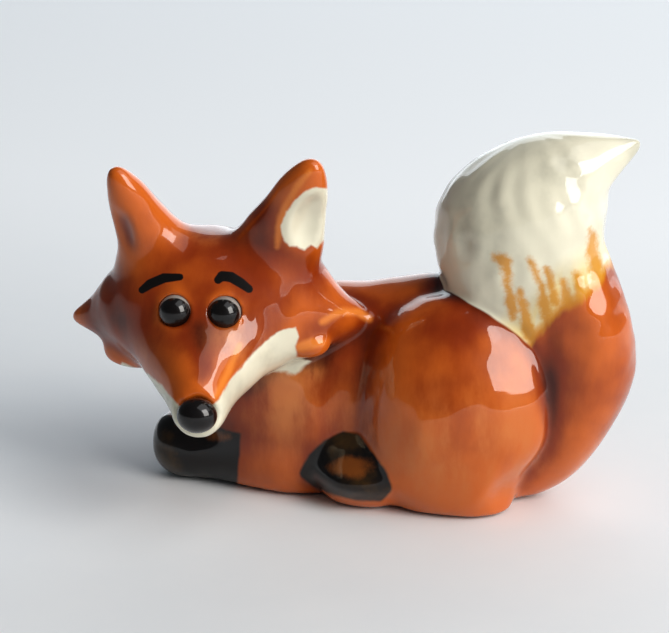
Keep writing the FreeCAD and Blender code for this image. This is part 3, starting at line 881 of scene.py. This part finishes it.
def make_body():
    body = Body()
    plain_points, quads = body.surface()
    cells = np.round((plain_points - body.low) / FINE_STEP).astype(int)
    owners = body.owner[tuple(cells.T)].astype(int)
    quad_owner = settled_owners(owners, quads)
    level = body.sample(body.field, plain_points)
    ridge = body.sample(body.wide, plain_points) - level
    broad = body.sample(body.broad, plain_points) - level
    head_side = body.sample(body.head_side, plain_points)
    tail_side = body.sample(body.tail_side, plain_points)
    plain_normals = unit(body.slope(body.field, plain_points))
    depth = wall_depth(body, plain_points, plain_normals)

    above_root = (plain_points[:, 2] - TAIL_GROOVES_FROM) / TAIL_GROOVES_RISE
    on_tail = np.clip(-2 * tail_side, 0, 1) * np.clip(above_root, 0, 1)
    marked, normals = with_hand_marks(plain_points, plain_normals, on_tail)
    normals = moved_normals(reshaped, marked, normals)
    points = reshaped(marked)
    values = paint(points, normals, head_side, tail_side)
    values["ridge"] = np.clip(ridge / FULL_RIDGE, -1, 1)
    values["broad"] = np.clip(broad / FULL_BROAD, -1, 1)
    points = np.clip(points, np.array(cad_box[0]) / MM, np.array(cad_box[1]) / MM)
    inner = points - depth[:, None] * normals

    materials = {slot: painted_material(slot) for slot in ("orange_glaze", "tail_glaze", "brown_glaze")}
    for index, name in enumerate(NAMES):
        slot = SLOTS.get(name, "orange_glaze")
        own = quads[quad_owner == index]
        make_piece(name, own, points, inner, normals, values, materials[slot])


def make_beads():
    """The eyes and the nose are the frame's own solids, in black glaze."""
    eye, nose = eye_material(), black_material()
    for name, material in (("left_eye", eye), ("right_eye", eye), ("nose", nose)):
        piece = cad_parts[name]
        piece.data.materials.clear()
        piece.data.materials.append(material)


# Stage, camera and light

# The window stands beside the camera: its direction in shares of right, up and back
WINDOW_TOWARDS = (0.69, 0.26, 0.67)
WINDOW_DISTANCE = 0.7
LIT_POINT = Vector((0, 0, 0.015))
WORLD_COLOR = (0.86, 0.93, 1.0, 1)
WORLD_STRENGTH = 0.1
# The sheet of paper: two near tones, and painted light that makes the paper lighter towards the back,
# starting and full at these y
PAPER_TONES = ((0.78, 0.80, 0.82), (0.80, 0.815, 0.83))
FAR_PAPER_PAINTED_LIGHT = (0.91, 0.92, 0.935)
FAR_PAPER_FROM = 0.02
FAR_PAPER_FULL = 0.12
FLOOR_HALF_SIDE = 2.0


def make_camera():
    camera = bpy.data.objects.new("camera", bpy.data.cameras.new("camera"))
    bpy.context.scene.collection.objects.link(camera)
    camera.data.sensor_width = SENSOR_WIDTH
    camera.data.lens = FOCAL_PIXELS / PHOTO_SIZE[0] * SENSOR_WIDTH
    camera.data.clip_start = 0.005
    camera.location = Vector(EYE_POINT * MM)
    camera.rotation_euler = Vector(-BACK).to_track_quat("-Z", "Y").to_euler()
    bpy.context.scene.camera = camera


def make_floor():
    side = FLOOR_HALF_SIDE
    mesh = bpy.data.meshes.new("floor")
    corners = [(-side, -side, 0), (side, -side, 0), (side, side, 0), (-side, side, 0)]
    mesh.from_pydata(corners, [], [(0, 1, 2, 3)])
    floor = bpy.data.objects.new("floor", mesh)
    bpy.context.scene.collection.objects.link(floor)
    n = Nodes("paper")
    color = n.mix(n.ramp(n.noise(60.0, 5.0, 0.6), -0.2, 0.2), *PAPER_TONES)
    place = n.tree.nodes.new("ShaderNodeSeparateXYZ")
    n.plug(place.inputs["Vector"], n.place())
    # painted light: the paper is lighter towards the back
    far = n.ramp(place.outputs["Y"], FAR_PAPER_FROM, FAR_PAPER_FULL)
    color = n.mix(far, color, FAR_PAPER_PAINTED_LIGHT)
    n.plug(n.shader.inputs["Base Color"], color)
    n.shader.inputs["Roughness"].default_value = 0.95
    n.shader.inputs["Specular IOR Level"].default_value = 0.1
    mesh.materials.append(n.material)


def area_light(name, place, size, watts, color):
    """A rectangular light that faces the fox."""
    lamp = bpy.data.lights.new(name, "AREA")
    lamp.shape = "RECTANGLE"
    lamp.size, lamp.size_y = size
    lamp.energy = watts
    lamp.color = color
    light = bpy.data.objects.new(name, lamp)
    light.location = place
    light.rotation_euler = (LIT_POINT - light.location).to_track_quat("-Z", "Y").to_euler()
    bpy.context.scene.collection.objects.link(light)


def make_lights():
    world = bpy.data.worlds.new("world")
    bpy.context.scene.world = world
    world.use_nodes = True
    background = world.node_tree.nodes["Background"]
    background.inputs["Color"].default_value = WORLD_COLOR
    background.inputs["Strength"].default_value = WORLD_STRENGTH
    right, up, back = WINDOW_TOWARDS
    towards = Vector(right * RIGHT + up * UP + back * BACK)
    window_place = LIT_POINT + towards * WINDOW_DISTANCE
    # each light's place, width and height in metres, watts and colour
    area_light("window", window_place, (0.38, 0.5), 4.0, (1.0, 0.97, 0.93))
    area_light("sky", (0.5, -0.1, 0.72), (0.85, 0.85), 2.7, (0.96, 0.98, 1.0))
    area_light("backdrop", (0.0, 0.9, 0.36), (1.8, 0.8), 7.4, (0.88, 0.95, 1.0))


make_body()
make_beads()
make_camera()
make_floor()
make_lights()
bpy.context.scene.view_settings.view_transform = "Standard"
bpy.context.scene.view_settings.look = "Medium High Contrast"
